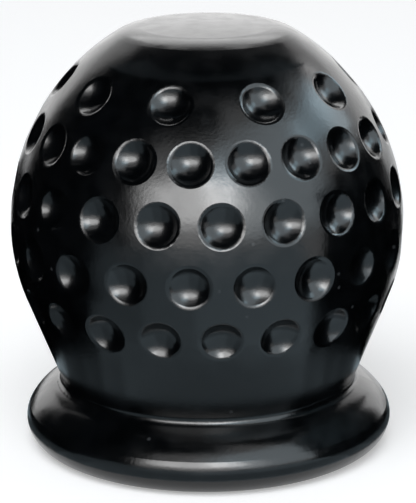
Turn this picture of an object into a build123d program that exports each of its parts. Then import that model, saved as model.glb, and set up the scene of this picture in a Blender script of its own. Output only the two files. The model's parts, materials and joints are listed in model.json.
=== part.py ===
from build123d import *
from math import acos, atan2, degrees, sqrt
import os

# A cover that pushes over a tow ball. It is one soft moulded piece: a dimpled ball with a nearly
# flat crown, drawn in to a neck above a flared foot, hollow and open at the bottom.
# Millimetres, +Z up, with the origin at the centre of the foot's underside and the front at -Y.

# Hollow
tow_ball_diameter = 50.0
tow_ball_clearance = 0.4  # all round the tow ball in the socket
throat_grip = 3.5  # how far the throat closes in under the tow ball, on the radius
throat_edge_radius = 3.0  # from the socket into the throat
mouth_edge_radius = 2.0  # from the throat out to the underside

# Walls
ball_wall = 6.6  # at the widest ring
neck_wall = 2.5  # between the throat and the crease above the foot

# Ball
ball_height = 36.6  # widest ring above the underside
dome_offset = 4.8  # the dome's arc is struck from this far beyond the axis, so it is a little steep
crown_diameter = 25.5  # nearly flat pad on top, measured to the corner that its rounding takes off
crown_arc_radius = 200.0  # shallow doming of the pad
crown_edge_radius = 8.0  # from the pad into the dome

# Foot
crease_height = 10.2  # where the ball's taper meets the foot
crease_radius = 1.2
foot_overhang = 6.25  # outwards from the crease
foot_edge_radius = 4.0  # outer edge, from the underside up
foot_edge_end = 30.0  # degrees above level at which the edge runs into the foot's upper arc

# Dimples, in rings that are staggered by half a step
dimple_diameter = 6.6  # to the corner that the rim's rounding takes off
dimple_bowl_radius = 4.3
dimple_rim_radius = 0.75
dimples_around = 20
crown_row_dimples = 10  # the uppermost ring has fewer
dimple_rows = 5
dimple_row_pitch = 9.45  # along the ball's side
crown_row_rise = 26.6  # uppermost ring above the widest ring, along the ball's side
dimple_turn = 22.0  # degrees from the front to the first dimple of the uppermost ring

socket_radius = tow_ball_diameter / 2 + tow_ball_clearance
throat_radius = tow_ball_diameter / 2 - throat_grip
ball_radius = socket_radius + ball_wall
neck_radius = throat_radius + neck_wall
foot_radius = neck_radius + foot_overhang

# Angles and corners of the section
dome_radius = ball_radius + dome_offset
crown_radius = crown_diameter / 2
dome_end = degrees(acos((crown_radius + dome_offset) / dome_radius))
crown_doming = crown_arc_radius - sqrt(crown_arc_radius**2 - crown_radius**2)
crease = Vector(neck_radius, crease_height)
crease_from_ball = crease - Vector(0, ball_height)
taper_turn = acos(ball_radius / crease_from_ball.length)  # tangent from the crease to the ball
taper_end = degrees(atan2(crease_from_ball.Y, crease_from_ball.X) + taper_turn)
throat_start = -degrees(acos(throat_radius / socket_radius))

# A dimple is part of a sphere, whose centre stands this far outside the ball's surface
dimple_radius = dimple_diameter / 2
rim_depth = ball_radius - sqrt(ball_radius**2 - dimple_radius**2)
bowl_offset = sqrt(dimple_bowl_radius**2 - dimple_radius**2) - rim_depth

# The moulded piece: half its section turned about the axis, then dimpled
with BuildPart() as cover:
    with BuildSketch(Plane.XZ) as section:
        # Outside, from the crown over the ball, down its taper to the crease and round the foot
        with BuildLine():
            dome = CenterArc((-dome_offset, ball_height), dome_radius, 0, dome_end)
            crown_centre = (0, (dome @ 1).Y + crown_doming)
            RadiusArc(dome @ 1, crown_centre, -crown_arc_radius)
            flank = CenterArc((0, ball_height), ball_radius, taper_end, -taper_end)
            taper = Line(crease, flank @ 0)
            edge_centre = (foot_radius - foot_edge_radius, foot_edge_radius)
            edge = CenterArc(edge_centre, foot_edge_radius, -90, 90 + foot_edge_end)
            TangentArc(edge @ 1, crease, tangent=edge % 1)
            underside = Line(edge @ 0, (0, 0))
            Line(underside @ 1, crown_centre)
        make_face()
        fillet(section.vertices().sort_by_distance(dome @ 1)[0], crown_edge_radius)
        fillet(section.vertices().sort_by_distance(crease)[0], crease_radius)

        # Inside, the socket for the tow ball above the throat that grips it
        with BuildLine():
            socket = CenterArc((0, ball_height), socket_radius, throat_start, 90 - throat_start)
            throat = Line(socket @ 0, (throat_radius, 0))
            mouth = Line(throat @ 1, (0, 0))
            Line(mouth @ 1, socket @ 1)
        make_face(mode=Mode.SUBTRACT)
        fillet(section.vertices().sort_by_distance(throat @ 0)[0], throat_edge_radius)
        fillet(section.vertices().sort_by_distance(throat @ 1)[0], mouth_edge_radius)
    revolve(axis=Axis.Z)

    # Rings of dimples from the crown down, each dimple a bowl with a rounded rim
    ball_side = Wire([taper, flank, dome])
    widest_ring = taper.length + flank.length
    for row in range(dimple_rows):
        along = widest_ring + crown_row_rise - row * dimple_row_pitch
        seat = ball_side.position_at(along, PositionMode.LENGTH)
        rising = ball_side.tangent_at(along, PositionMode.LENGTH)
        outwards = Vector(rising.Y, 0, -rising.X)
        bowl_centre = Vector(seat.X, 0, seat.Y) + outwards * bowl_offset
        bowl_plane = Plane(bowl_centre, x_dir=outwards, z_dir=(rising.X, 0, rising.Y))
        count = crown_row_dimples if row == 0 else dimples_around
        stagger = row % 2 * 180 / dimples_around
        with PolarLocations(0, count, start_angle=dimple_turn + stagger - 90):
            with Locations(Location(bowl_plane)):
                Sphere(dimple_bowl_radius, mode=Mode.SUBTRACT)
        fillet(cover.edges(Select.NEW), dimple_rim_radius)

os.makedirs("parts", exist_ok=True)
cover.part.label = "cover"
export_step(cover.part, "parts/cover.step")
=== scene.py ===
import json
from math import cos, pi, radians, sin

import bpy
from mathutils import Matrix, Vector

# A moulded tow ball cover on a pale floor, in soft studio light. Metres, +Z up, front at -Y.
# An azimuth of 0 is the front and 90 the right, in degrees.

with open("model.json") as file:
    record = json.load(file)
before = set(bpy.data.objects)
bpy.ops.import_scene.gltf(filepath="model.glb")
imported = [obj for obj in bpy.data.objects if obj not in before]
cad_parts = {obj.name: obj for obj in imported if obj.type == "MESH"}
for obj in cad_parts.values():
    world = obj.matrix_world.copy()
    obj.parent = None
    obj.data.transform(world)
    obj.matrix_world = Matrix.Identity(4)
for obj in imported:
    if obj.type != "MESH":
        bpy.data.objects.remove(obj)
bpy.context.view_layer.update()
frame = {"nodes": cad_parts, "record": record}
mounts = {mount["name"]: mount for mount in frame["record"]["mounts"]}
ball_centre = Vector(mounts["tow_ball_seat"]["pos_m"])

# Camera, fitted to the photograph's outline and dimples
IMAGE_WIDTH = 416
IMAGE_HEIGHT = 503
FOCAL_LENGTH_PX = 2348.8
AXIS_X_PX = 207.4  # where the optical axis meets the photograph, from the left
SENSOR_MM = 36.0  # along the longer side of the picture
CAMERA_DISTANCE = 0.384  # from the ball's centre
CAMERA_ELEVATION = 15.47  # degrees above the ball's centre
CAMERA_TILT = 16.21  # degrees downwards
CAMERA_ROLL = -0.41  # degrees
NEAREST_VIEW = 0.01  # what is closer to the camera isn't drawn

# Rubber, with sizes in metres
RUBBER_IOR = 1.5
RUBBER_DARK = (0.0005, 0.0008, 0.0011, 1)
RUBBER_LIGHT = (0.0014, 0.0019, 0.0025, 1)
CLOUD_SIZE = 0.006  # faint clouds in the black
CLOUD_DETAIL = 4
GLOSSIEST = 0.17  # roughness
DULLEST = 0.24
SMEAR_SIZE = 0.003  # patches that are more or less glossy
SMEAR_DETAIL = 3
NOISE_LOW = 0.3  # most values of a noise lie between these two
NOISE_HIGH = 0.7
GRAIN_SIZE = 0.0005
GRAIN_DETAIL = 2
GRAIN_DEPTH = 0.000015
SPECK_SPACING = 0.0055
SPECK_RADIUS = 0.00045
SPECK_CORE = 0.2  # share of the radius in which a speck is at its full strength
SPECK_COLOR = (0.030, 0.033, 0.036, 1)

# World and floor
WORLD_LIGHT = 0.35  # for everything but the background
FLOOR_SIZE = 6.0
FLOOR_COLOR = (0.86, 0.88, 0.90, 1)
FLOOR_GLOW = 0.37  # lifts the floor towards white around the shadow

# Colours of the lamps and cards
WHITE = (1.0, 1.0, 1.0)
COOL = (0.80, 1.0, 1.12)
COOLER = (0.64, 1.0, 1.20)

# Cards, which show in reflections alone
CURVE_STEPS = 24  # straight sides in a curved card
OVERHEAD_HEIGHT = 0.6
FLOOR_CARD_INNER = 0.032  # radius, just outside the foot
FLOOR_CARD_HEIGHT = 0.0005
CROWN_CARD_RADIUS = 0.02
CROWN_CARD_REACH = 70  # degrees to each side of the front
CROWN_CARD_BOTTOM = 0.068
CROWN_CARD_TOP = 0.086
CROWN_CARD_LEVEL = 0.1

# Cards on the floor close to the foot, the same on both sides of their middle azimuth: painted shade of
# the floor round the foot, seen in reflections alone
NEAR_CARD_MIDDLE = 4
NEAR_CARD_OUTER = 0.041
NEAR_CARD_HEIGHT = 0.001
NEAR_SHADE_CARDS = [  # name, first and last angle from the middle, grey level
    ("near_front", 0, 50, 0.46),
    ("near_corner", 50, 65, 0.30),
    ("near_side", 65, 80, 0.16),
    ("near_flank", 80, 105, 0.10),
    ("near_back", 105, 166, 0.40),
]


def new_material(name):
    material = bpy.data.materials.new(name)
    material.use_nodes = True
    nodes = material.node_tree.nodes
    nodes.clear()
    return material, nodes, material.node_tree.links


def add_node(nodes, kind, **values):
    node = nodes.new(kind)
    for key, value in values.items():
        setattr(node, key, value)
    return node


def add_noise(nodes, links, place, size, detail):
    """Even noise whose lumps are about as wide as the size given, in metres."""
    noise = add_node(nodes, "ShaderNodeTexNoise")
    noise.inputs["Scale"].default_value = 1 / size
    noise.inputs["Detail"].default_value = detail
    links.new(place, noise.inputs["Vector"])
    return noise.outputs[0]


def add_range(nodes, links, value, low, high, to_low, to_high):
    """Maps a value from one range to another, and holds it inside."""
    mapped = add_node(nodes, "ShaderNodeMapRange", interpolation_type="SMOOTHSTEP")
    limits = mapped.inputs[1:5]  # the ends of the first range, then of the second
    for socket, number in zip(limits, (low, high, to_low, to_high)):
        socket.default_value = number
    links.new(value, mapped.inputs["Value"])
    return mapped.outputs["Result"]


def add_specks(nodes, links, place):
    """A value of 1 in small, sparse specks of dust, and 0 elsewhere."""
    cells = add_node(nodes, "ShaderNodeTexVoronoi", feature="F1")
    cells.inputs["Scale"].default_value = 1 / SPECK_SPACING
    links.new(place, cells.inputs["Vector"])
    edge = SPECK_RADIUS / SPECK_SPACING
    return add_range(nodes, links, cells.outputs["Distance"], SPECK_CORE * edge, edge, 1, 0)


def add_mix(nodes, links, share, first, second):
    """A colour between two, each of them a colour or another node's output."""
    mix = add_node(nodes, "ShaderNodeMix", data_type="RGBA")
    links.new(share, mix.inputs["Factor"])
    color_sockets = mix.inputs[6:8]  # the node has others of the same names for plain values
    for socket, color in zip(color_sockets, (first, second)):
        if isinstance(color, tuple):
            socket.default_value = color
        else:
            links.new(color, socket)
    mixed_color = mix.outputs[2]
    return mixed_color


def rubber_material():
    """Black moulded rubber: semi-gloss, with a fine mould grain, uneven gloss and a few specks of dust."""
    material, nodes, links = new_material("moulded_rubber")
    output = add_node(nodes, "ShaderNodeOutputMaterial")
    shader = add_node(nodes, "ShaderNodeBsdfPrincipled")
    shader.inputs["IOR"].default_value = RUBBER_IOR
    links.new(shader.outputs["BSDF"], output.inputs["Surface"])
    place = add_node(nodes, "ShaderNodeTexCoord").outputs["Object"]

    clouds = add_noise(nodes, links, place, CLOUD_SIZE, CLOUD_DETAIL)
    cloud_share = add_range(nodes, links, clouds, NOISE_LOW, NOISE_HIGH, 0, 1)
    rubber = add_mix(nodes, links, cloud_share, RUBBER_DARK, RUBBER_LIGHT)
    specks = add_specks(nodes, links, place)
    dusty_rubber = add_mix(nodes, links, specks, rubber, SPECK_COLOR)
    links.new(dusty_rubber, shader.inputs["Base Color"])

    smears = add_noise(nodes, links, place, SMEAR_SIZE, SMEAR_DETAIL)
    roughness = add_range(nodes, links, smears, NOISE_LOW, NOISE_HIGH, GLOSSIEST, DULLEST)
    links.new(roughness, shader.inputs["Roughness"])

    grain = add_noise(nodes, links, place, GRAIN_SIZE, GRAIN_DETAIL)
    bump = add_node(nodes, "ShaderNodeBump")
    bump.inputs["Strength"].default_value = 1
    bump.inputs["Distance"].default_value = GRAIN_DEPTH
    links.new(grain, bump.inputs["Height"])
    links.new(bump.outputs["Normal"], shader.inputs["Normal"])
    return material


def seen_as_background(nodes, links):
    """A value of 1 for the rays that see the white background: camera, glossy and transmission rays."""
    path = add_node(nodes, "ShaderNodeLightPath")
    either = add_node(nodes, "ShaderNodeMath", operation="MAXIMUM")
    links.new(path.outputs["Is Camera Ray"], either.inputs[0])
    links.new(path.outputs["Is Glossy Ray"], either.inputs[1])
    any_of = add_node(nodes, "ShaderNodeMath", operation="MAXIMUM")
    links.new(either.outputs[0], any_of.inputs[0])
    links.new(path.outputs["Is Transmission Ray"], any_of.inputs[1])
    return any_of.outputs[0]


def add_background(nodes, strength):
    background = add_node(nodes, "ShaderNodeBackground")
    background.inputs["Color"].default_value = (*WHITE, 1)
    background.inputs["Strength"].default_value = strength
    return background.outputs[0]


def make_world():
    """A pale world that lights the object, and is seen as plain white."""
    world = bpy.data.worlds.new("studio")
    bpy.context.scene.world = world
    world.use_nodes = True
    nodes, links = world.node_tree.nodes, world.node_tree.links
    nodes.clear()
    output = add_node(nodes, "ShaderNodeOutputWorld")
    mix = add_node(nodes, "ShaderNodeMixShader")
    links.new(seen_as_background(nodes, links), mix.inputs["Fac"])
    links.new(add_background(nodes, strength=WORLD_LIGHT), mix.inputs[1])
    links.new(add_background(nodes, strength=1.0), mix.inputs[2])
    links.new(mix.outputs[0], output.inputs["Surface"])


def make_floor():
    """A pale floor that takes the shadow, and glows a little where it is seen."""
    bpy.ops.mesh.primitive_plane_add(size=FLOOR_SIZE, location=(0, 0, 0))
    floor = bpy.context.object
    floor.name = "floor"
    material, nodes, links = new_material("pale_floor")
    output = add_node(nodes, "ShaderNodeOutputMaterial")
    diffuse = add_node(nodes, "ShaderNodeBsdfDiffuse")
    diffuse.inputs["Color"].default_value = FLOOR_COLOR
    strength = add_node(nodes, "ShaderNodeMath", operation="MULTIPLY")
    links.new(seen_as_background(nodes, links), strength.inputs[0])
    strength.inputs[1].default_value = FLOOR_GLOW
    glow = add_node(nodes, "ShaderNodeEmission")
    glow.inputs["Color"].default_value = (*WHITE, 1)
    links.new(strength.outputs[0], glow.inputs["Strength"])
    both = add_node(nodes, "ShaderNodeAddShader")
    links.new(diffuse.outputs[0], both.inputs[0])
    links.new(glow.outputs[0], both.inputs[1])
    links.new(both.outputs[0], output.inputs["Surface"])
    floor.data.materials.append(material)


def around_ball(azimuth, elevation, distance):
    """A point at that distance from the ball's centre."""
    turn, rise = radians(azimuth), radians(elevation)
    return ball_centre + distance * Vector((sin(turn) * cos(rise), -cos(turn) * cos(rise), sin(rise)))


def make_softbox(name, place, size, radiance, color=WHITE, oval=False):
    """A lamp that faces the ball's centre, rectangular or oval.

    Its place is an azimuth, an elevation and a distance, and its size a width and a height.
    """
    width, height = size
    data = bpy.data.lights.new(name, "AREA")
    data.shape = "ELLIPSE" if oval else "RECTANGLE"
    data.size = width
    data.size_y = height
    area = width * height * (pi / 4 if oval else 1)
    data.energy = radiance * pi * area
    data.color = color
    lamp = bpy.data.objects.new(name, data)
    lamp.location = around_ball(*place)
    lamp.rotation_euler = (ball_centre - lamp.location).to_track_quat("-Z", "Y").to_euler()
    lamp.visible_camera = False
    bpy.context.scene.collection.objects.link(lamp)
    return lamp


def make_lights():
    """Plain light for the level of the colours, and lamps that show in the gloss alone."""
    plain = make_softbox("plain_light", place=(-10, 55, 1.6), size=(1.2, 1.0), radiance=4.4)
    plain.visible_glossy = False
    gloss = [
        make_softbox("key_softbox", place=(-7.5, 21, 0.9), size=(1.03, 0.35), radiance=6.8, oval=True),
        make_softbox("key_hot_spot", place=(7, 23.5, 0.89), size=(0.27, 0.27), radiance=6.3, oval=True),
        make_softbox("key_glow", place=(-6, 18.5, 0.91), size=(1.6, 0.66), radiance=1.6, oval=True),
        make_softbox("key_fade", place=(13, 33.5, 0.9), size=(0.42, 0.17), radiance=2.35, color=COOLER),
        make_softbox("right_panel", place=(44, 28, 0.92), size=(1.1, 0.87), radiance=1.45, color=COOL),
        make_softbox(
            "upper_right_panel", place=(93.5, 37.5, 0.9), size=(0.65, 0.22), radiance=2.0, color=COOLER
        ),
        make_softbox("far_right_panel", place=(113, 30, 0.88), size=(0.26, 0.3), radiance=3.0, color=COOL),
        make_softbox("shoulder_panel", place=(129, 32, 0.9), size=(0.24, 0.2), radiance=1.9),
        make_softbox("back_panel", place=(180, 47.5, 0.9), size=(0.58, 0.62), radiance=2.15),
        make_softbox("low_back_panel", place=(180, 12, 0.9), size=(4.1, 0.44), radiance=0.7),
        make_softbox("crown_panel", place=(178, 60, 0.55), size=(0.3, 0.13), radiance=2.1),
    ]
    for lamp in gloss:
        lamp.visible_diffuse = False


def make_card(name, corners, faces=None, level=0.0):
    """A card that glows at a cool grey level, or is black, that shows in reflections alone and shades
    nothing.
    """
    one_face = [range(len(corners))]
    mesh = bpy.data.meshes.new(name)
    mesh.from_pydata(corners, [], faces or one_face)
    card = bpy.data.objects.new(name, mesh)
    bpy.context.scene.collection.objects.link(card)
    material, nodes, links = new_material(name)
    output = add_node(nodes, "ShaderNodeOutputMaterial")
    surface = add_node(nodes, "ShaderNodeEmission")
    surface.inputs["Color"].default_value = (*COOL, 1)
    surface.inputs["Strength"].default_value = level
    links.new(surface.outputs[0], output.inputs["Surface"])
    mesh.materials.append(material)
    card.visible_camera = False
    card.visible_diffuse = False
    card.visible_shadow = False


def upright_card(name, x, front, back, top, bottom=0.0):
    """A black card that stands at one side of the ball, from front to back."""
    make_card(name, [(x, front, bottom), (x, back, bottom), (x, back, top), (x, front, top)])


def overhead_card(name, left, right, front, back):
    """A black card that lies flat above the ball."""
    outline = [(left, front), (right, front), (right, back), (left, back)]
    make_card(name, [(x, y, OVERHEAD_HEIGHT) for x, y in outline])


def arc(radius, start, end, height):
    """Points round the part's axis, from one azimuth to another."""
    turns = [radians(start + (end - start) * step / CURVE_STEPS) for step in range(CURVE_STEPS + 1)]
    return [(radius * sin(turn), -radius * cos(turn), height) for turn in turns]


def floor_card(name, start, end, outer, level=0.0, height=FLOOR_CARD_HEIGHT):
    """A card on the floor round the foot, as part of a ring from one azimuth to another; its level is
    painted light or shade of the floor, seen in reflections alone.
    """
    inside = arc(FLOOR_CARD_INNER, start, end, height)
    outside = arc(outer, end, start, height)
    make_card(name, inside + outside, level=level)


def crown_card():
    """A low arc in front of the crown, which keeps the key lamps out of the crown as seen from behind."""
    lower = arc(CROWN_CARD_RADIUS, -CROWN_CARD_REACH, CROWN_CARD_REACH, CROWN_CARD_BOTTOM)
    upper = arc(CROWN_CARD_RADIUS, -CROWN_CARD_REACH, CROWN_CARD_REACH, CROWN_CARD_TOP)
    above = len(lower)
    faces = [(i, i + 1, above + i + 1, above + i) for i in range(CURVE_STEPS)]
    make_card("crown_card", lower + upper, faces, CROWN_CARD_LEVEL)


def near_floor_shade_cards():
    """Cards close to the foot, on both sides, each a step darker or lighter than the one before: painted
    shade of the floor round the foot, in reflections alone.
    """
    for name, first, last, level in NEAR_SHADE_CARDS:
        for side, direction in (("left", -1), ("right", 1)):
            start = NEAR_CARD_MIDDLE + direction * first
            end = NEAR_CARD_MIDDLE + direction * last
            floor_card(f"{name}_{side}_floor_card", start, end, NEAR_CARD_OUTER, level, NEAR_CARD_HEIGHT)


def make_cards():
    """The dark sides and dark ceiling that the rubber reflects, and floor cards whose greys and blacks are
    painted light and shade of the floor, seen in reflections alone.
    """
    upright_card("left_card", x=-0.35, front=-0.37, back=0.19, top=1.23)
    upright_card("left_back_card", x=-0.35, front=0.19, back=0.37, top=0.75)
    upright_card("left_low_card", x=-0.063, front=-0.045, back=0.022, top=0.09)
    upright_card("right_card", x=0.2, front=-0.056, back=0.12, top=0.106)
    upright_card("right_low_card", x=0.0525, front=-0.04, back=0.017, top=0.058)
    upright_card("left_near_card", x=-0.042, front=0.01, back=0.03, top=0.045, bottom=0.025)
    upright_card("right_back_card", x=0.042, front=0.004, back=0.02, top=0.04, bottom=0.02)
    crown_card()
    overhead_card("top_card", left=-0.44, right=0.45, front=-0.19, back=0.42)
    overhead_card("upper_left_card", left=-0.6, right=0.09, front=-0.43, back=-0.2)
    overhead_card("upper_right_card", left=0.3, right=0.52, front=0.25, back=0.62)
    # Greys of the floor in front, lighter to the right: painted light and shade of the floor, seen in
    # reflections alone
    floor_card("front_left_floor_card", start=-61, end=-32, outer=0.7, level=0.41)
    floor_card("front_floor_card", start=-32, end=-6, outer=0.7, level=0.60)
    floor_card("front_right_floor_card", start=-6, end=54, outer=0.7, level=0.83)
    floor_card("left_floor_card", start=-152, end=-61, outer=0.57)
    floor_card("right_floor_card", start=54, end=130, outer=0.18)
    near_floor_shade_cards()


def make_camera():
    data = bpy.data.cameras.new("camera")
    data.sensor_width = SENSOR_MM
    longer_side = max(IMAGE_WIDTH, IMAGE_HEIGHT)
    data.lens = FOCAL_LENGTH_PX * SENSOR_MM / longer_side
    data.shift_x = (IMAGE_WIDTH / 2 - AXIS_X_PX) / longer_side
    data.clip_start = NEAREST_VIEW
    camera = bpy.data.objects.new("camera", data)
    camera.location = around_ball(0, CAMERA_ELEVATION, CAMERA_DISTANCE)
    tilt = Matrix.Rotation(radians(90 - CAMERA_TILT), 3, "X")
    roll = Matrix.Rotation(radians(CAMERA_ROLL), 3, "Z")
    camera.rotation_euler = (tilt @ roll).to_euler()
    bpy.context.scene.collection.objects.link(camera)
    bpy.context.scene.camera = camera


bpy.context.scene.view_settings.view_transform = "Standard"

cover = frame["nodes"]["cover"]
cover.data.materials.clear()
cover.data.materials.append(rubber_material())

make_world()
make_floor()
make_lights()
make_cards()
make_camera()
